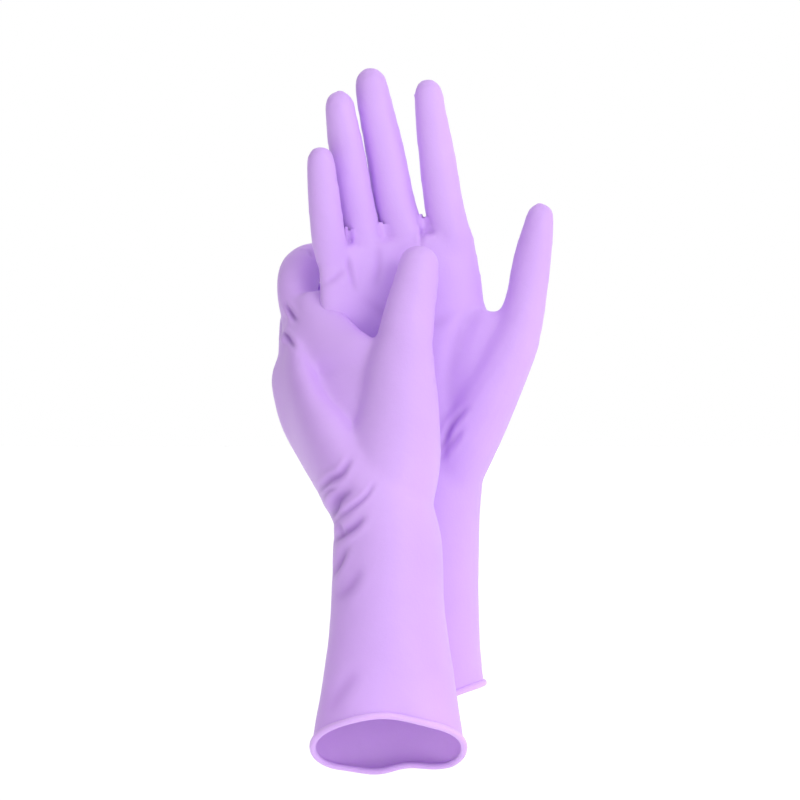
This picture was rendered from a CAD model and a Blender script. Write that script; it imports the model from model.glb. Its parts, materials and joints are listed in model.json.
# %% [markdown]
# # A pair of long-cuff nitrile gloves
# The object is a pair of thin lilac gloves in the shape that two hands give them. The right glove is
# open, its palm to the front. The left glove grips the right one's little-finger side, and its thumb lies
# on the right palm. The frame holds the plain film solids, the hinges of the finger and thumb stalls, and
# the sizes.

import json
import math

import bmesh
import bpy
import numpy as np
from mathutils import Matrix, Vector, kdtree, noise


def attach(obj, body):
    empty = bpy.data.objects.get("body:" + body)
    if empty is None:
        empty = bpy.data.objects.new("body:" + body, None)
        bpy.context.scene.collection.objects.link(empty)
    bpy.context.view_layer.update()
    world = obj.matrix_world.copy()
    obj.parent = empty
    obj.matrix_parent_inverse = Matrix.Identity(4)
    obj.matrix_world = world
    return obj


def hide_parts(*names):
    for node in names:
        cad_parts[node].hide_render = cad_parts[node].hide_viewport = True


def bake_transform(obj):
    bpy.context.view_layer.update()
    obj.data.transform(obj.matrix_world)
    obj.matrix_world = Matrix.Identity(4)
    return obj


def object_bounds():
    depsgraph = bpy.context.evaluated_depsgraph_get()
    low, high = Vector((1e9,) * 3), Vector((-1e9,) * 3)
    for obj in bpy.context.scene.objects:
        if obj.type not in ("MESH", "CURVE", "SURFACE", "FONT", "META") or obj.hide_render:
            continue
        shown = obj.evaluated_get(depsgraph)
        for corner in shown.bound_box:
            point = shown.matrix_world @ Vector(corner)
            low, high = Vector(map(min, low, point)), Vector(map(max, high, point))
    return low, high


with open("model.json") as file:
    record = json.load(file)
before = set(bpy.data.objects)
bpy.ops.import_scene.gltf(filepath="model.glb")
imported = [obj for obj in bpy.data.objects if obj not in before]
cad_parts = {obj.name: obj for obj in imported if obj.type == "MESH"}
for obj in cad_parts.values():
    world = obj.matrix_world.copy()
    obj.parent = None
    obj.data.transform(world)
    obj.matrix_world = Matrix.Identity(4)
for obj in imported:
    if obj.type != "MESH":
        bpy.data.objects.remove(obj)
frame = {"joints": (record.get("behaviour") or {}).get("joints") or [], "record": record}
cad_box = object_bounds()
joints = {joint["name"]: joint for joint in frame["joints"]}

# %% [markdown]
# ## Sizes
# The shape is given in millimetres, as a glove maker gives it, and MM makes it metres. A section of a hand
# or a forearm has a middle, a direction towards the thumb, half its width, half its depth, and a cup, which
# is how sharply it curls towards the palm. A stall's section has a middle and a radius.

# %% Units and the film
MM = 0.001
FILM_WALL = 0.25 * MM
VOXEL = 1.75 * MM
RING_SIDES = 32
RINGS_BETWEEN = 5
# How far from a hand's middle line, on its little-finger side, the cup starts
CUP_START = 10.0 * MM


def mm(x, y, z):
    """A point given in millimetres."""
    return Vector((x, y, z)) * MM


print("film", round(FILM_WALL / MM, 2), "mm, voxels", round(VOXEL / MM, 2), "mm")

# %% [markdown]
# ## Lofted rings
# A hand in a glove is a row of rings that change size and turn as they go. Each ring starts as an
# operator's circle. Neighbours are bridged, and the two ends are closed, so that the result is a solid
# that can be fused with the next one. Between the given sections a smooth curve supplies more, because a
# polygon of few sections would show flats.

# %% Smooth rows of numbers
def smoothed(rows, between):
    """The rows with more rows between them, on a curve that passes through every given one."""
    rows = np.array(rows, float)
    padded = np.vstack([2 * rows[0] - rows[1], rows, 2 * rows[-1] - rows[-2]])
    out = []
    for k in range(len(rows) - 1):
        a, b, c, d = padded[k : k + 4]
        for step in range(between):
            t = step / between
            square = (2 * a - 5 * b + 4 * c - d) * t**2
            cube = (3 * b - a - 3 * c + d) * t**3
            out.append(0.5 * (2 * b + (c - a) * t + square + cube))
    out.append(rows[-1])
    return np.array(out)


def runs_of(middles):
    """The direction of a row of middles at each of them."""
    return [Vector(v).normalized() for v in np.gradient(np.array(middles), axis=0)]


# %% One ring and a row of rings
def add_ring(bm, middle, towards_thumb, along, half_width, half_depth, cup=0.0, palm_side=1):
    """A ring square to along; a cup above 0 bends its little-finger side towards the palm."""
    across = (towards_thumb - along * towards_thumb.dot(along)).normalized()
    through = along.cross(across)
    ring = bmesh.ops.create_circle(bm, segments=RING_SIDES, radius=1.0)["verts"]
    for vert in ring:
        flat = vert.co.x * half_width
        height = vert.co.y * half_depth
        bent = max(0.0, CUP_START - flat) * cup
        side = CUP_START - math.sin(bent) / cup if bent else flat
        rise = palm_side * (1 - math.cos(bent)) / cup if bent else 0.0
        out = across * (palm_side * math.sin(bent)) + through * math.cos(bent)
        vert.co = middle + across * side + through * rise + out * height
    return ring


def bridge(bm, ring_a, ring_b):
    """Faces between two rings."""
    both = set(ring_a) | set(ring_b)
    touching = {edge for vert in both for edge in vert.link_edges}
    chosen = [e for e in touching if e.verts[0] in both and e.verts[1] in both and not e.is_manifold]
    bmesh.ops.bridge_loops(bm, edges=chosen)


def lofted(rings):
    """A closed solid from a list of keyword rows for add_ring."""
    bm = bmesh.new()
    previous = None
    for row in rings:
        ring = add_ring(bm, **row)
        if previous:
            bridge(bm, previous, ring)
        previous = ring
    open_edges = [e for e in bm.edges if e.is_boundary]
    bmesh.ops.holes_fill(bm, edges=open_edges)
    bmesh.ops.recalc_face_normals(bm, faces=bm.faces)
    return bm


# %% [markdown]
# ## The two hands' forms
# Forearm, palm, thumb's root and web are four lofts that overlap. Each glove is made from the same four,
# with its own sections. The right hand stands straight. The left hand bends back from the wrist, and its
# fingers turn behind the right one.

# %% Sections of the right glove
# middle x, y, z; direction to the thumb x, y, z; half width; half depth; cup per mm
RIGHT_ARM = [
    (0, 0, -6, 1, 0, 0.05, 32.5, 25.0, 0),
    (0.2, 0, 8, 1, 0, 0.03, 31.8, 25.0, 0),
    (1.0, -1, 34, 1, 0, 0, 29.6, 24.0, 0),
    (2.5, -1, 62, 1, 0, 0, 28.0, 22.0, 0),
    (4, 0, 92, 1, 0, 0, 27.5, 19.5, 0),
    (2.5, 0, 120, 1, 0, 0.04, 31.5, 16.5, 0.004),
    (-1.5, 0, 150, 1, 0, 0.08, 36.5, 14.0, 0.010),
    (-6.5, 0, 180, 1, 0, 0.12, 40.0, 12.5, 0.015),
    (-11.0, 0, 211, 1, 0, 0.15, 39.0, 10.5, 0.0185),
]
RIGHT_THENAR = [
    (15, -1, 98, 1, 0, 0, 14.5, 15.0, 0),
    (24, -4, 118, 1, 0, 0, 15.5, 15.5, 0),
    (33.2, -6, 136, 1, 0, -0.1, 14.4, 14.0, 0),
    (41.6, -7, 152, 1, 0, -0.25, 12.5, 12.5, 0),
    (49.6, -8, 169, 1, 0, -0.35, 10.6, 10.6, 0),
]
RIGHT_WEB = [
    (20, -2, 122, 1, -0.1, 0, 19.0, 13.0, 0),
    (29, -4, 148, 1, -0.1, 0, 18.5, 9.5, 0),
    (36, -5, 170, 1, -0.1, 0, 12.5, 6.5, 0),
    (38, -5, 177.5, 1, -0.1, 0, 9.5, 5.0, 0),
]

# %% Sections of the left glove
LEFT_ARM = [
    (-12, -82, -27, -0.02, -1, 0.6, 28.5, 34.5, 0),
    (-12, -79, -14, -0.02, -1, 0.5, 27.5, 33.8, 0),
    (-11.7, -74, 10, 0, -1, 0.33, 26.5, 29.9, 0),
    (-12.2, -67, 40, 0, -1, 0.27, 26.0, 26.0, 0),
    (-13.5, -57, 80, 0, -1, 0.3, 26.5, 24.0, 0),
    (-29, -44, 100, -0.02, -0.93, 0.36, 28.0, 16.5, 0.002),
    (-43, -21, 117, -0.03, -0.86, 0.5, 34.5, 12.5, 0.005),
    (-50.5, -3, 131, -0.03, -0.82, 0.57, 38.5, 11.5, 0.008),
    (-52.5, 11, 143, -0.03, -0.81, 0.58, 39.5, 10.5, 0.010),
]
LEFT_THENAR = [
    (-13, -60, 84, 0, -1, 0.1, 18.0, 20.0, 0),
    (-9, -56, 108, 0, -1, 0.1, 18.5, 21.0, 0),
    (-6.5, -50, 128, 0, -1, 0.15, 16.0, 18.5, 0),
    (-6, -43, 147, 0, -1, 0.2, 14.5, 16.0, 0),
    (-4.5, -37, 163, 0, -1, 0.25, 12.6, 13.0, 0),
]
LEFT_WEB = [
    (-24, -43, 104, 0.9, -0.43, 0, 25.0, 15.0, 0),
    (-29, -34, 132, 0.9, -0.43, 0, 30.0, 12.0, 0),
    (-31, -29, 149, 0.9, -0.43, 0, 22.0, 8.5, 0),
    (-37, -25, 159, 0.9, -0.43, 0, 17.0, 8.0, 0),
    (-42, -18, 168.5, 0.9, -0.43, 0, 13.5, 7.5, 0),
    (-46, -11, 177, 0.9, -0.43, 0, 10.5, 7.0, 0),
    (-48.5, -5, 185, 0.9, -0.43, 0, 7.5, 6.5, 0),
]
LOFTS = {"right": (RIGHT_ARM, RIGHT_THENAR, RIGHT_WEB), "left": (LEFT_ARM, LEFT_THENAR, LEFT_WEB)}
for side, lofts in LOFTS.items():
    print(side, "sections of the arm, thumb's root and web", [len(sections) for sections in lofts])

# %% [markdown]
# ## Finger and thumb stalls
# A stall starts inside the palm, at its hinge, and runs through its points to a domed tip. The hinge
# comes from the frame. Each point is a middle and a radius, and the stall is a little wider than deep, as
# a finger is.

# %% Points of the stalls
RIGHT_STALLS = {
    "index_finger": [
        (13.8, -1, 230.7, 8.9),
        (10.5, -2, 254, 8.3),
        (7.6, -3, 274, 7.2),
        (6.3, -3.5, 288, 6.4),
    ],
    "middle_finger": [
        (-9.2, 0, 230.7, 9.3),
        (-13.6, -1, 254, 8.9),
        (-18.6, -2, 277, 8.0),
        (-21.6, -3, 293, 7.0),
    ],
    "ring_finger": [
        (-27.4, -6.5, 228, 8.8),
        (-31.0, -8, 251, 8.3),
        (-34.0, -9, 269, 7.3),
        (-35.6, -9.5, 282, 6.5),
    ],
    "little_finger": [
        (-40.4, -18.1, 217, 7.9),
        (-42.0, -20.0, 233, 7.4),
        (-43.2, -21.0, 246, 6.5),
        (-43.8, -21.5, 255.5, 5.8),
    ],
    "thumb": [
        (52.8, -8, 186, 9.4),
        (55.6, -8.5, 204, 8.7),
        (58.4, -9, 219, 7.0),
        (60.2, -9, 229.5, 5.6),
    ],
}
LEFT_STALLS = {
    "index_finger": [
        (-54.5, 1.5, 179.5, 9.8),
        (-53.6, 13, 197.5, 10.2),
        (-42, 24.5, 203.5, 8.8),
        (-29, 28, 203, 7.6),
        (-19, 28.5, 203, 6.6),
    ],
    "middle_finger": [
        (-55, 18.5, 167, 9.3),
        (-51.5, 29.5, 182, 8.9),
        (-37, 34, 185.5, 8.0),
        (-20, 31, 186, 7.4),
        (-6, 29, 186, 6.8),
    ],
    "ring_finger": [
        (-54, 31, 152, 8.9),
        (-48, 39, 166, 8.5),
        (-32, 39.5, 168.5, 7.7),
        (-18, 35, 169, 7.1),
        (-6, 31.5, 169, 6.5),
    ],
    "little_finger": [
        (-45, 44, 139, 7.9),
        (-36, 47, 149.5, 7.5),
        (-24, 44, 152, 6.9),
        (-14, 40, 152.5, 6.4),
        (-6, 37, 152.5, 5.9),
    ],
    "thumb": [
        (-2.5, -33.5, 175, 11.8),
        (0.5, -30, 189, 10.4),
        (2.5, -28, 200, 9.0),
        (3.4, -27, 209, 7.2),
    ],
}
STALLS = {"right": RIGHT_STALLS, "left": LEFT_STALLS}
STALL_NAMES = ("thumb", "index_finger", "middle_finger", "ring_finger", "little_finger")
# Radii at the hinges
BASE_RADII = {"index_finger": 9.4, "middle_finger": 9.6, "ring_finger": 8.8, "little_finger": 7.9}
THUMB_RADII = {"right": 10.2, "left": 12.4}
FINGER_MOTIONS = {"right": "bends", "left": "opens"}
THUMB_MOTIONS = {"right": "bends", "left": "lifts"}
print("stalls", {side: len(stalls) for side, stalls in STALLS.items()})


# %% Build the lofts of a glove
def arm_rings(sections, palm_side, between=RINGS_BETWEEN):
    """Ring rows for a forearm, palm, thumb's root or web."""
    rows = smoothed(sections, between)
    runs = runs_of(rows[:, :3])
    rings = []
    for row, along in zip(rows, runs):
        rings.append(
            {
                "middle": mm(*row[:3]),
                "towards_thumb": Vector(row[3:6]),
                "along": along,
                "half_width": row[6] * MM,
                "half_depth": row[7] * MM,
                "cup": max(0.0, row[8]) / MM,
                "palm_side": palm_side,
            }
        )
    return rings


def joint_of(side, stall):
    """The frame's joint that turns a stall."""
    motion = (THUMB_MOTIONS if stall == "thumb" else FINGER_MOTIONS)[side]
    return joints[f"{side}_{stall}_{motion}"]


# A stall's first ring, in radii at the hinge: how far under the hinge it lies, and how wide it is
ROOT_DEPTH = 0.9
ROOT_WIDTH = 0.85


def stall_line(side, stall):
    """A stall's middles and radii in millimetres, from a little under its hinge to its tip."""
    points = STALLS[side][stall]
    hinge = np.array(joint_of(side, stall)["pos_m"]) / MM
    radius = THUMB_RADII[side] if stall == "thumb" else BASE_RADII[stall]
    way = np.array(points[0][:3]) - hinge
    under = hinge - way / np.linalg.norm(way) * radius * ROOT_DEPTH
    return smoothed([(*under, radius * ROOT_WIDTH), (*hinge, radius)] + list(points), RINGS_BETWEEN)


# A finger is a little wider than deep, and its tip a little longer than half a ball
WIDER = 1.03
DOME_STRETCH = 1.25
DOME_RINGS = 7
DOME_TURN = math.radians(88)
DOME_GAP = 0.8


def stall_rings(side, stall):
    """Ring rows for a stall, ending in a dome."""
    rows = stall_line(side, stall)
    lengths = np.r_[0, np.cumsum(np.linalg.norm(np.diff(rows[:, :3], axis=0), axis=1))]
    dome = rows[-1, 3] * DOME_STRETCH
    keep = rows[lengths < lengths[-1] - dome - DOME_GAP]
    start = np.array([np.interp(lengths[-1] - dome, lengths, rows[:, k]) for k in range(4)])
    rows = np.vstack([keep, start])
    runs = runs_of(rows[:, :3])
    across = Vector(joint_of(side, stall)["axis"])
    if side == "left" and stall != "thumb":
        across = -across
    rings = [(mm(*row[:3]), along, row[3]) for row, along in zip(rows, runs)]
    tip_middle, tip_along, tip_radius = rings[-1]
    for k in range(1, DOME_RINGS + 1):
        turn = DOME_TURN * k / DOME_RINGS
        middle = tip_middle + tip_along * dome * MM * math.sin(turn)
        rings.append((middle, tip_along, tip_radius * math.cos(turn)))
    return [
        {
            "middle": middle,
            "towards_thumb": across,
            "along": along,
            "half_width": radius * WIDER * MM,
            "half_depth": radius / WIDER * MM,
        }
        for middle, along, radius in rings
    ]


# %% [markdown]
# ## One skin from the lofts
# A dipped glove has no seams, so the lofts have to become one surface with soft valleys between the
# fingers. The overlapping solids are joined, remeshed by voxels into one closed skin, relaxed, and
# subdivided once. That gives even quads small enough to carry folds. Modelling the web between fingers
# face by face would also work, but the remesh blends them more softly.

# %% Fuse the lofts
RELAX_STEPS = 14
# Relaxing shrinks the skin by this much, so it is moved out again
RELAX_LOSS = 0.25 * MM
# Which way the palm faces, along a ring's depth
PALM_SIDES = {"right": -1, "left": 1}


def joined(lofts, name):
    """One object that holds all the lofts."""
    whole = bmesh.new()
    for bm in lofts:
        mesh = bpy.data.meshes.new("loft")
        bm.to_mesh(mesh)
        bm.free()
        whole.from_mesh(mesh)
        bpy.data.meshes.remove(mesh)
    mesh = bpy.data.meshes.new(name)
    whole.to_mesh(mesh)
    whole.free()
    obj = bpy.data.objects.new(name, mesh)
    bpy.context.collection.objects.link(obj)
    return obj


def with_modifiers(obj, *settings):
    """The object, with the modifiers applied to its mesh; each setting is a type and its values."""
    for kind, values in settings:
        modifier = obj.modifiers.new(kind.title(), kind)
        for key, value in values.items():
            setattr(modifier, key, value)
    evaluated = obj.evaluated_get(bpy.context.evaluated_depsgraph_get())
    mesh = bpy.data.meshes.new_from_object(evaluated)
    obj.modifiers.clear()
    obj.data = mesh
    return obj


def glove_skin(side, stalls=STALL_NAMES, first_ring=0):
    """The closed outer skin of one glove, or of a shorter one with only some of its stalls."""
    palm_side = PALM_SIDES[side]
    arm, thenar, web = LOFTS[side]
    lofts = [lofted(arm_rings(arm, palm_side)[first_ring:])]
    lofts += [lofted(arm_rings(sections, palm_side)) for sections in (thenar, web)]
    lofts += [lofted(stall_rings(side, stall)) for stall in stalls]
    skin = joined(lofts, side + "_skin")
    return with_modifiers(
        skin,
        ("REMESH", {"mode": "VOXEL", "voxel_size": VOXEL}),
        ("SMOOTH", {"factor": 0.5, "iterations": RELAX_STEPS}),
        ("DISPLACE", {"strength": RELAX_LOSS, "mid_level": 0.0}),
        ("SUBSURF", {"levels": 1, "render_levels": 1}),
    )


skins = {side: glove_skin(side) for side in ("right", "left")}
for side, skin in skins.items():
    print(side, "skin", len(skin.data.vertices), "vertices")

# %% [markdown]
# ## Folds and creases
# The film folds where a wrist bends, where knuckles press together and where a thumb's root starts. Each
# fold is a curve on the front of the glove, given by what lies across and up. Points near it sink, and
# the film just beside it rises. The same amount is kept on the mesh as an attribute, because the film
# looks deeper in a crease.

# %% Fold curves
# across and up in millimetres, then depth and width of the fold
WRIST_FOLDS = [
    ([(-44.5, 94.5), (-38.5, 100.5), (-33.5, 103.5), (-28.8, 110.5)], 1.1, 1.8),
    ([(-42.5, 91.5), (-38.8, 95.5), (-35, 97)], 0.7, 1.3),
    ([(-40.5, 81.5), (-36.8, 87), (-34.6, 92), (-29, 96.5)], 1.9, 2.6),
    ([(-38.5, 79), (-31.5, 85.5), (-22.9, 92.5), (-18.5, 98.6)], 0.8, 1.3),
    ([(-39, 70.8), (-32.2, 76.1), (-27, 80), (-23, 84)], 1.3, 2.0),
    ([(-33.6, 81.5), (-33.1, 75.4)], 0.8, 1.4),
    ([(-38.5, 55.5), (-34.5, 62), (-31, 70)], 1.1, 1.8),
    ([(-24.2, 60.6), (-29, 53), (-35, 46.5)], 0.7, 3.2),
    ([(-26, 14.5), (-32, 6.5), (-39, -4.5)], 0.5, 3.6),
]
KNUCKLE_FOLDS = [
    ([(-61.5, 182.5), (-58.5, 178.5), (-55.4, 174)], 1.3, 1.5),
    ([(-62.5, 169), (-59.5, 166.5), (-56, 161.5)], 1.3, 1.5),
    ([(-50, 208), (-47.8, 204.5)], 0.5, 1.0),
]
RIGHT_FOLDS = [
    ([(24.5, 133.6), (18, 126), (14.5, 118), (12.5, 112)], 0.9, 1.7),
    ([(22.5, 123.5), (17.5, 117), (12, 108.5)], 0.6, 1.9),
    ([(5.2, 218), (3.9, 215.3), (3.6, 209)], 0.7, 1.3),
    ([(3.9, 215), (9.5, 216)], 0.5, 1.2),
    ([(-30.4, 218), (-29.7, 213), (-30.2, 208.5)], 0.7, 1.3),
    ([(-30.4, 203.4), (-29.9, 199), (-27.4, 188.2)], 0.6, 1.5),
    ([(-42.5, 190.5), (-37, 193), (-31.6, 197.6)], 0.45, 1.8),
    ([(-17, 209.5), (-16, 200), (-18, 190)], 0.4, 2.4),
    ([(20, 178), (8, 172), (-8, 174), (-24, 184)], 0.35, 3.6),
    ([(28, 182), (21, 166), (17, 148), (17, 132)], 0.45, 4.2),
]
# middle of a soft hollow or swelling, its radius, and how far it moves out, all in millimetres
SWELLS = {
    "right": [((40, -6, 173), 7, 0.8), ((-44, -20, 178), 12, 1.0)],
    "left": [
        ((-33, -48, 126), 13, 1.6),
        ((-26, -55, 112), 11, 1.0),
        ((-64, -6, 175), 9, -3.2),
        ((-65, -2, 147), 13, 3.4),
        ((-62, -10, 128), 14, 1.6),
    ],
}
FOLDS = {"right": RIGHT_FOLDS, "left": WRIST_FOLDS + KNUCKLE_FOLDS}
FRONT = np.array([0.0, -1.0, 0.0])
# Parts of a fold's width: the valley's reach, then how far out the ridge lies and its reach
VALLEY_REACH = 0.75
RIDGE_PLACE = 1.7
RIDGE_REACH = 0.8
# The ridge's share of the depth, and the depth at which a crease has its full colour
RIDGE_SHARE = 0.45
FULL_COLOUR_DEPTH = 1.4
print("folds", {side: len(folds) for side, folds in FOLDS.items()})


# %% Press the folds into a skin
def positions(mesh):
    """A mesh's points as an array."""
    co = np.empty(len(mesh.vertices) * 3, np.float32)
    mesh.vertices.foreach_get("co", co)
    return co.reshape(-1, 3)


def normals_of(mesh):
    """A mesh's normals at its points as an array."""
    normals = np.empty(len(mesh.vertices) * 3, np.float32)
    mesh.vertices.foreach_get("normal", normals)
    return normals.reshape(-1, 3)


def near_curve(flat, curve):
    """For each flat point, its distance from the curve and the share of the curve that lies before it."""
    best = np.full(len(flat), np.inf)
    share = np.zeros(len(flat))
    for k in range(len(curve) - 1):
        step = curve[k + 1] - curve[k]
        t = np.clip((flat - curve[k]) @ step / (step @ step), 0, 1)
        distance = np.linalg.norm(flat - curve[k] - t[:, None] * step, axis=1)
        closer = distance < best
        best[closer] = distance[closer]
        share[closer] = (k + t[closer]) / (len(curve) - 1)
    return best, share


def soft_step(value, low, high):
    """0 below low, 1 above high, smooth between."""
    t = np.clip((value - low) / (high - low), 0, 1)
    return t * t * (3 - 2 * t)


def fold_amounts(side, co, normals):
    """How far each point sinks in a fold, and how deep in a crease it looks. Only the front is folded."""
    facing = soft_step(normals @ FRONT, -0.1, 0.35)
    sunk = np.zeros(len(co))
    crease = np.zeros(len(co))
    for points, depth, width in FOLDS[side]:
        curve = smoothed(points, 6) * MM
        distance, share = near_curve(co[:, [0, 2]], curve)
        ends = np.sin(np.pi * np.clip(share * 0.96 + 0.02, 0, 1)) ** 0.6
        valley = np.exp(-((distance / (width * MM * VALLEY_REACH)) ** 2))
        ridge = np.exp(-(((distance - width * MM * RIDGE_PLACE) / (width * MM * RIDGE_REACH)) ** 2))
        sunk += facing * ends * depth * (valley - RIDGE_SHARE * ridge)
        crease = np.maximum(crease, facing * ends * valley * min(1.0, depth / FULL_COLOUR_DEPTH))
    return sunk * MM, crease


def swelling(side, co):
    """How far each point moves out in the soft swellings and hollows."""
    out = np.zeros(len(co))
    for middle, radius, amount in SWELLS[side]:
        distance = np.linalg.norm(co - np.array(middle) * MM, axis=1)
        out += amount * MM * np.exp(-((distance / (radius * MM)) ** 2))
    return out


# Waves per metre, and how high they are
WIDE_WAVES = 42
FINE_WAVES = 150
WIDE_HEIGHT = 0.28
FINE_HEIGHT = 0.07


def unevenness(co):
    """The slight waves of a thin film over skin, and the finer ones on top."""
    wide = [noise.noise(Vector(point) * WIDE_WAVES) for point in co]
    fine = [noise.noise(Vector(point) * FINE_WAVES) for point in co]
    return np.array(wide) * WIDE_HEIGHT * MM + np.array(fine) * FINE_HEIGHT * MM


def press_folds(side, mesh):
    """Moves the skin's points and stores the crease."""
    co = positions(mesh)
    normals = normals_of(mesh)
    sunk, crease = fold_amounts(side, co, normals)
    moved = co + normals * (unevenness(co) + swelling(side, co) - sunk)[:, None]
    mesh.vertices.foreach_set("co", moved.astype(np.float32).ravel())
    layer = mesh.attributes.new("crease", "FLOAT", "POINT")
    layer.data.foreach_set("value", crease.astype(np.float32))
    mesh.update()
    return crease


for side, skin in skins.items():
    crease = press_folds(side, skin.data)
    print(side, "folds", len(FOLDS[side]), "points in a crease", int((crease > 0.3).sum()))

# %% [markdown]
# ## Open the cuffs
# The skin is cut square across the forearm where the rolled bead sits, and the cap that the loft had is
# taken off. A cuff is never a true oval, so its last centimetre gets a few slow waves, in and out and up
# and down. The bead is then rolled along the edge itself, so it follows the waves.

# %% Cut the cuffs open
cuff_mounts = {m["name"].split("_")[0]: m for m in frame["record"]["mounts"]}


def open_cuff(obj, side):
    """Cuts the skin at the cuff's plane and drops what is beyond it."""
    mount = cuff_mounts[side]
    bm = bmesh.new()
    bm.from_mesh(obj.data)
    bmesh.ops.bisect_plane(
        bm,
        geom=bm.verts[:] + bm.edges[:] + bm.faces[:],
        plane_co=Vector(mount["pos_m"]),
        plane_no=Vector(mount["axis"]),
        clear_outer=True,
    )
    bm.to_mesh(obj.data)
    bm.free()


# The height in millimetres of the waves in and out, where they start, and where those up and down start
RIM_WAVES = {"right": (0.7, 1.1, 0.4), "left": (0.9, 2.3, 1.9)}
# How far the rim drops on its thumb side and at its front, in millimetres
RIM_TILT = {"right": (-3.0, 4.5), "left": (0.0, 0.0)}
# The height of the waves up and down, how soon all of them fade, and how far they reach
RIM_DROP = 0.8 * MM
RIM_FADE = 9 * MM
RIM_REACH = 60 * MM


def wave_rim(obj, side):
    """Slow waves in the last stretch of the cuff."""
    mount = cuff_mounts[side]
    axis = np.array(mount["axis"])
    amount, start, lift = RIM_WAVES[side]
    co = positions(obj.data)
    normals = normals_of(obj.data)
    from_middle = co - np.array(mount["pos_m"])
    turn = np.arctan2(from_middle[:, 1], from_middle[:, 0])
    near = np.exp(-np.abs(from_middle @ axis) / RIM_FADE) * (np.linalg.norm(from_middle, axis=1) < RIM_REACH)
    outward = amount * MM * near * (np.sin(3 * turn + start) + 0.5 * np.sin(5 * turn + 2 * start))
    downward = RIM_DROP * near * (np.sin(2 * turn + lift) + 0.5 * np.sin(5 * turn))
    thumb_side, front = RIM_TILT[side]
    downward += np.sqrt(near) * (thumb_side * np.cos(turn) - front * np.sin(turn)) * MM
    moved = co + normals * outward[:, None] + axis[None, :] * downward[:, None]
    obj.data.vertices.foreach_set("co", moved.astype(np.float32).ravel())
    obj.data.update()


for side, skin in skins.items():
    open_cuff(skin, side)
    wave_rim(skin, side)
    print(side, "open skin", len(skin.data.polygons), "faces")

# %% Roll the beads along the edges
BEAD_RADIUS = 1.55 * MM
BEAD_RINGS = 190
BEAD_SIDES = 14
# How uneven the rolled film is, and its unevenness per metre
BEAD_UNEVEN = 0.07
BEAD_WAVES = 90


def rim_points(obj):
    """Evenly spaced points along the open edge of a skin, in order."""
    bm = bmesh.new()
    bm.from_mesh(obj.data)
    edge = next(e for e in bm.edges if e.is_boundary)
    first = edge.verts[0]
    loop = [first.co.copy()]
    vert = edge.other_vert(first)
    while vert is not first:
        loop.append(vert.co.copy())
        edge = next(e for e in vert.link_edges if e.is_boundary and e is not edge)
        vert = edge.other_vert(vert)
    bm.free()
    closed = np.array(loop + loop[:1])
    lengths = np.r_[0, np.cumsum(np.linalg.norm(np.diff(closed, axis=0), axis=1))]
    at = np.linspace(0, lengths[-1], BEAD_RINGS, endpoint=False)
    even = np.stack([np.interp(at, lengths, closed[:, k]) for k in range(3)], axis=1)
    return sum(np.roll(even, k, axis=0) for k in range(-3, 4)) / 7


def bead_of(side, skin):
    """A closed tube along the skin's edge, a little thicker in places, as rolled film is."""
    points = rim_points(skin)
    bm = bmesh.new()
    rings = []
    for k, point in enumerate(points):
        way = Vector(points[(k + 1) % BEAD_RINGS] - points[k - 1]).normalized()
        turned = way.to_track_quat("Z", "X").to_matrix().to_4x4()
        thick = BEAD_RADIUS * (1 + BEAD_UNEVEN * noise.noise(Vector(point) * BEAD_WAVES))
        ring = bmesh.ops.create_circle(
            bm, segments=BEAD_SIDES, radius=thick, matrix=Matrix.Translation(point) @ turned
        )["verts"]
        if rings:
            bridge(bm, rings[-1], ring)
        rings.append(ring)
    bridge(bm, rings[-1], rings[0])
    bmesh.ops.recalc_face_normals(bm, faces=bm.faces)
    mesh = bpy.data.meshes.new(side + "_rolled_bead")
    bm.to_mesh(mesh)
    bm.free()
    mesh.polygons.foreach_set("use_smooth", np.ones(len(mesh.polygons), bool))
    bead = bpy.data.objects.new(side + "_rolled_bead", mesh)
    bpy.context.collection.objects.link(bead)
    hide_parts(f"{side}_cuff_bead")
    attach(bead, f"{side}_hand")
    return bead


beads = {side: bead_of(side, skin) for side, skin in skins.items()}
for side, bead in beads.items():
    print(side, "bead", len(bead.data.polygons), "faces")

# %% [markdown]
# ## Film, pieces and bodies
# The wall is added inwards on the whole glove at once. Then the glove is divided where the stalls begin,
# so that each stall can follow its own body. In the whole skin, fingers that lie close are fused, and
# would tear when one bends. So each stall comes from a skin of its own, made on the same voxel grid with
# no other stall beside it, and the palm comes from the whole skin, together with the crotches between the
# fingers. Both lie on one grid, so they meet closely, and only short notches stay in the crotches.

# %% Give the skin its wall
WALL = ("SOLIDIFY", {"thickness": FILM_WALL, "offset": -1.0, "use_rim": True})
for side, skin in skins.items():
    with_modifiers(skin, WALL)
    print(side, "film", len(skin.data.polygons), "faces")

# %% Divide a glove
# A stall's film starts this far above its hinge
STALL_START = 2.5 * MM
# Below this height the film is the gauntlet's
WRIST_HEIGHT = {"right": 92 * MM, "left": 82 * MM}
# A stall's own skin leaves out the arm below this ring
FIRST_HAND_RING = 5 * RINGS_BETWEEN
# A face this low, with no face of a stall's own skin this near, is in a crotch
CROTCH_HEIGHT = 7.0 * MM
SAME_PLACE = 0.12 * MM
# How far a stall reaches from its middle line, in radii; an index finger also takes the web beside it
STALL_REACH = 1.35
WEB_REACH = 2.4
# From each finger row's little-finger end to its thumb end
ROW_WAY = {"right": np.array([1.0, 0.0, 0.15]), "left": np.array([-0.03, -0.81, 0.58])}


def stall_way(side, stall):
    """The direction in which a stall leaves its hinge."""
    line = stall_line(side, stall)[:, :3]
    hinge = np.array(joint_of(side, stall)["pos_m"]) / MM
    at = np.argmin(np.linalg.norm(line - hinge, axis=1))
    way = line[at + 2] - line[at]
    return way / np.linalg.norm(way)


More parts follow.
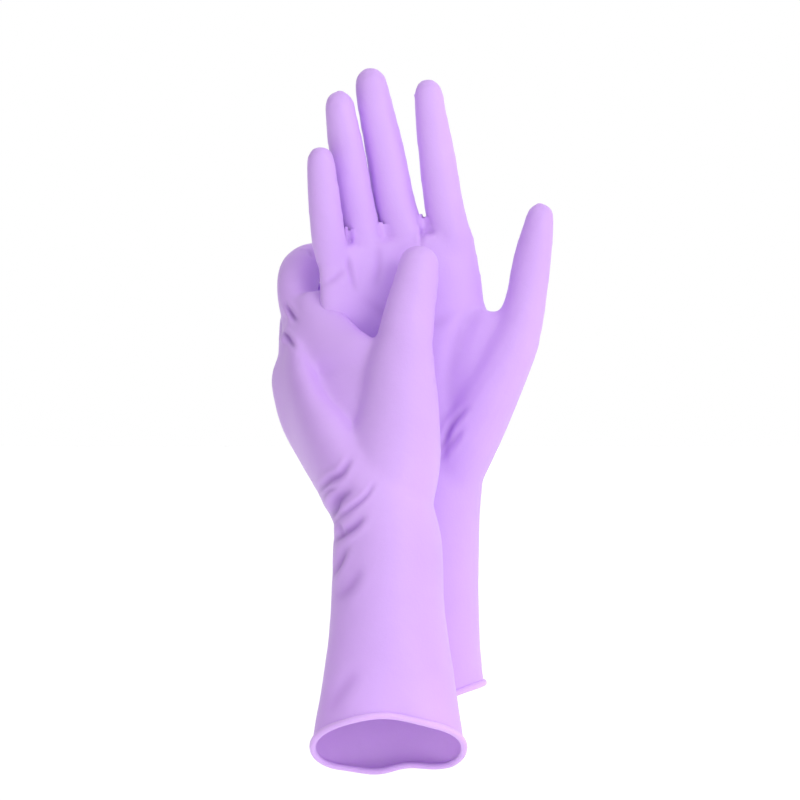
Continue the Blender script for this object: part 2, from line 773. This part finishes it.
def centres_of(mesh):
    """A mesh's face centres as an array."""
    centres = np.empty(len(mesh.polygons) * 3, np.float32)
    mesh.polygons.foreach_get("center", centres)
    return centres.reshape(-1, 3)


def region_of_faces(side, centres):
    """For each face, the name of the piece that it belongs to, and its height above that stall's start."""
    nearest = np.full(len(centres), np.inf)
    height = np.zeros(len(centres))
    region = np.where(centres[:, 2] < WRIST_HEIGHT[side], "gauntlet", "palm").astype(object)
    for stall in STALL_NAMES:
        line = stall_line(side, stall)[:, :3] * MM
        radius = stall_line(side, stall)[:, 3].max() * MM
        hinge = np.array(joint_of(side, stall)["pos_m"])
        up = (centres - hinge) @ stall_way(side, stall) - STALL_START
        thumb_side = (centres - hinge) @ ROW_WAY[side] > 0
        reach = np.where(thumb_side & (stall == "index_finger"), WEB_REACH, STALL_REACH) * radius
        distance = np.min(np.linalg.norm(centres[:, None, :] - line[None, ::2, :], axis=2), axis=1)
        mine = (up > 0) & (distance < reach) & (distance < nearest)
        region[mine] = stall
        height[mine] = up[mine]
        nearest[mine] = distance[mine]
    return region, height


def cut_out(mesh, keep, name):
    """A new piece of the kept faces, with the whole mesh's normals."""
    normals = normals_of(mesh)
    bm = bmesh.new()
    bm.from_mesh(mesh)
    mark = bm.verts.layers.int.new("place")
    for k, vert in enumerate(bm.verts):
        vert[mark] = k
    bm.faces.ensure_lookup_table()
    others = [face for face, kept in zip(bm.faces, keep) if not kept]
    bmesh.ops.delete(bm, geom=others, context="FACES")
    piece_mesh = bpy.data.meshes.new(name)
    place = [vert[mark] for vert in bm.verts]
    bm.verts.layers.int.remove(mark)
    bm.to_mesh(piece_mesh)
    bm.free()
    piece_mesh.polygons.foreach_set("use_smooth", np.ones(len(piece_mesh.polygons), bool))
    piece_mesh.normals_split_custom_set_from_vertices(normals[place])
    piece = bpy.data.objects.new(name, piece_mesh)
    bpy.context.collection.objects.link(piece)
    return piece


def stall_piece(side, stall):
    """One finger or thumb, from a skin with no other stall beside it."""
    skin = glove_skin(side, [stall], FIRST_HAND_RING)
    press_folds(side, skin.data)
    with_modifiers(skin, WALL)
    region, _ = region_of_faces(side, centres_of(skin.data))
    piece = cut_out(skin.data, region == stall, f"{side}_{stall}_film")
    bpy.data.objects.remove(skin)
    return piece


def take_crotches(region, height, centres, stalls):
    """Gives the palm those low faces between the fingers that no stall's own skin has."""
    own = np.vstack([centres_of(piece.data) for piece in stalls])
    tree = kdtree.KDTree(len(own))
    for k, centre in enumerate(own):
        tree.insert(centre, k)
    tree.balance()
    low = np.flatnonzero((height > 0) & (height < CROTCH_HEIGHT))
    for k in low:
        if tree.find(centres[k])[2] > SAME_PLACE:
            region[k] = "palm"
    return region


def divided(side, skin):
    """The glove's pieces by name."""
    pieces = {stall: stall_piece(side, stall) for stall in STALL_NAMES}
    centres = centres_of(skin.data)
    region, height = region_of_faces(side, centres)
    region = take_crotches(region, height, centres, pieces.values())
    for name in ("gauntlet", "palm"):
        pieces[name] = cut_out(skin.data, region == name, f"{side}_{name}_film")
    bpy.data.objects.remove(skin)
    return pieces


film = {side: divided(side, skin) for side, skin in skins.items()}
for side, pieces in film.items():
    print(side, {name: len(piece.data.polygons) for name, piece in pieces.items()})


# %% Join the pieces to the bodies
# The bend starts a little above the stall's border and is spread over this much film
BLEND_GAP = 1.5 * MM
BLEND_LENGTH = 15.0 * MM


def settle(side, name, piece):
    """Names the finish, the node that the piece stands for, and the body or bodies that it follows."""
    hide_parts(f"{side}_{name}")
    if name in ("gauntlet", "palm"):
        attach(piece, f"{side}_hand")
        return
    joint = joint_of(side, name)
    way = stall_way(side, name)
    start = np.array(joint["pos_m"]) + way * (STALL_START + BLEND_GAP)
    end = start + way * BLEND_LENGTH
    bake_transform(piece)


for side, pieces in film.items():
    for name, piece in pieces.items():
        settle(side, name, piece)
    print(side, "pieces on bodies", len(pieces))

# %% [markdown]
# ## Nitrile
# The film is a soft satin rubber. Its colour is almost even: slow patches where the dip is thicker, and a
# deeper lilac in the creases. The shine varies a little, and a fine bump breaks it up. Node arithmetic is
# written as arithmetic, through a small class whose values are sockets.

# %% A value in a material
class Value:
    """One output of a node tree. Arithmetic on it adds Math nodes."""

    def __init__(self, tree, socket):
        self.tree = tree
        self.socket = socket

    def node(self, kind, inputs, output=0, **settings):
        """Any node, from its type, what each socket gets, the output that is used, and its settings."""
        made = self.tree.nodes.new(kind)
        for key, value in settings.items():
            setattr(made, key, value)
        for key, value in inputs.items():
            feed(self.tree, value, made.inputs[key])
        return Value(self.tree, made.outputs[output])

    def math(self, operation, first, second):
        """A Math node on two numbers or values."""
        return self.node("ShaderNodeMath", {0: first, 1: second}, operation=operation)

    def __add__(self, other):
        return self.math("ADD", self, other)

    def __radd__(self, other):
        return self.math("ADD", other, self)

    def __sub__(self, other):
        return self.math("SUBTRACT", self, other)

    def __rsub__(self, other):
        return self.math("SUBTRACT", other, self)

    def __mul__(self, other):
        return self.math("MULTIPLY", self, other)

    def __rmul__(self, other):
        return self.math("MULTIPLY", other, self)


def feed(tree, value, socket):
    """Links a Value, or sets a constant."""
    if isinstance(value, Value):
        tree.links.new(value.socket, socket)
    else:
        socket.default_value = value


# %% The film's and the bead's materials
# How much of the deep colour the creases and the slow patches bring, and how much is there everywhere
CREASE_DEPTH = 0.62
PATCH_DEPTH = 0.22
EVEN_DEPTH = 0.05
# Sizes of the patterns, in spots per metre
PATCH_SCALE = 26.0
FLECK_SCALE = 420.0
SPECK_SCALE = 1500.0
BUMP_HEIGHT = 0.4 * MM


def rubber(name, colour, deep, roughness, grain):
    """Satin rubber in one colour, deeper in its creases."""
    material = bpy.data.materials.new(name)
    material.use_nodes = True
    tree = material.node_tree
    shader = tree.nodes["Principled BSDF"]
    place = Value(tree, tree.nodes.new("ShaderNodeTexCoord").outputs["Object"])
    crease = place.node("ShaderNodeAttribute", {}, output="Fac", attribute_name="crease")
    patches = place.node("ShaderNodeTexNoise", {"Vector": place, "Scale": PATCH_SCALE, "Detail": 2.0})
    flecks = place.node("ShaderNodeTexNoise", {"Vector": place, "Scale": FLECK_SCALE, "Detail": 2.0})
    specks = place.node("ShaderNodeTexNoise", {"Vector": place, "Scale": SPECK_SCALE, "Detail": 1.0})
    depth = crease * CREASE_DEPTH + (patches - 0.5) * PATCH_DEPTH + EVEN_DEPTH
    # A Mix node set to colours has its factor at place 0, its two colours at 6 and 7, and its result at 2
    ends = {0: depth, 6: (*colour, 1), 7: (*deep, 1)}
    tint = place.node("ShaderNodeMix", ends, output=2, data_type="RGBA", clamp_factor=True)
    feed(tree, tint, shader.inputs["Base Color"])
    feed(tree, roughness + flecks * 0.10 + patches * 0.08, shader.inputs["Roughness"])
    height = flecks * 0.6 + specks * 0.4
    bump = place.node("ShaderNodeBump", {"Strength": grain, "Distance": BUMP_HEIGHT, "Height": height})
    feed(tree, bump, shader.inputs["Normal"])
    shader.inputs["IOR"].default_value = 1.48
    shader.inputs["Specular IOR Level"].default_value = 0.28
    shader.inputs["Subsurface Weight"].default_value = 0.18
    shader.inputs["Subsurface Radius"].default_value = (1.0, 0.55, 1.1)
    shader.inputs["Subsurface Scale"].default_value = 0.003
    return material


nitrile = rubber("lilac nitrile", (0.69, 0.41, 0.965), (0.24, 0.085, 0.46), 0.36, 0.22)
beading = rubber("rolled nitrile", (0.73, 0.47, 0.95), (0.42, 0.22, 0.60), 0.34, 0.3)
for pieces in film.values():
    for piece in pieces.values():
        piece.data.materials.append(nitrile)
for bead in beads.values():
    bead.data.materials.append(beading)
print("materials", [material.name for material in (nitrile, beading)])

# %% [markdown]
# ## Studio
# The scene is high key: white behind and below. The light comes from the right front, and the left side
# of the room is darker, so that left edges fall off, as they do beside a dark flag. A long lens looks
# level at the hands.

# %% Floor and lights
FLOOR_HEIGHT = cad_box[0][2] - 30 * MM
FLOOR_SIZE = 20.0


def pale_floor():
    """A wide white floor below the gloves."""
    bm = bmesh.new()
    place = Matrix.Translation((0, 0, FLOOR_HEIGHT))
    bmesh.ops.create_grid(bm, x_segments=1, y_segments=1, size=FLOOR_SIZE, matrix=place)
    mesh = bpy.data.meshes.new("floor")
    bm.to_mesh(mesh)
    bm.free()
    floor = bpy.data.objects.new("floor", mesh)
    bpy.context.collection.objects.link(floor)
    material = bpy.data.materials.new("pale floor")
    material.use_nodes = True
    shader = material.node_tree.nodes["Principled BSDF"]
    shader.inputs["Base Color"].default_value = (0.97, 0.97, 0.97, 1)
    shader.inputs["Roughness"].default_value = 0.9
    shader.inputs["Emission Color"].default_value = (1, 1, 1, 1)
    shader.inputs["Emission Strength"].default_value = 0.2
    mesh.materials.append(material)


def soft_light(name, place, aim, size, power):
    """A square area light that looks at its aim."""
    light = bpy.data.lights.new(name, "AREA")
    light.size = size
    light.energy = power
    obj = bpy.data.objects.new(name, light)
    obj.location = place
    obj.rotation_euler = (Vector(aim) - Vector(place)).to_track_quat("-Z", "Y").to_euler()
    bpy.context.collection.objects.link(obj)


def studio_world():
    """White all round, but darker towards the left and the front left."""
    world = bpy.data.worlds.new("studio")
    world.use_nodes = True
    tree = world.node_tree
    direction = Value(tree, tree.nodes.new("ShaderNodeTexCoord").outputs["Generated"])
    across = direction.node("ShaderNodeSeparateXYZ", {"Vector": direction}, output="X")
    sides = {"Value": across, "From Min": -0.85, "From Max": -0.45, "To Min": 0.0, "To Max": 1.0}
    strength = across.node("ShaderNodeMapRange", sides)
    feed(tree, strength, tree.nodes["Background"].inputs["Strength"])
    tree.nodes["Background"].inputs["Color"].default_value = (1, 1, 1, 1)
    bpy.context.scene.world = world


pale_floor()
hands_middle = mm(-6.5, -20, 137)
soft_light("key", place=hands_middle + Vector((1.0, -1.3, 0.7)), aim=hands_middle, size=0.7, power=7)
studio_world()
bpy.context.scene.view_settings.view_transform = "Standard"
print("floor at", round(FLOOR_HEIGHT / MM, 1), "mm")

# %% Camera
CAMERA_DISTANCE = 2.4
VIEW_WIDTH = 0.3736
VIEW_MIDDLE = mm(-6.5, -15, 137)
camera = bpy.data.cameras.new("camera")
camera.sensor_width = 36.0
camera.lens = camera.sensor_width * CAMERA_DISTANCE / VIEW_WIDTH
camera.clip_end = 50
viewer = bpy.data.objects.new("camera", camera)
viewer.location = VIEW_MIDDLE + Vector((0, -CAMERA_DISTANCE, 0))
viewer.rotation_euler = (math.radians(90), 0, 0)
bpy.context.collection.objects.link(viewer)
bpy.context.scene.camera = viewer
print("lens", round(camera.lens, 1), "mm")
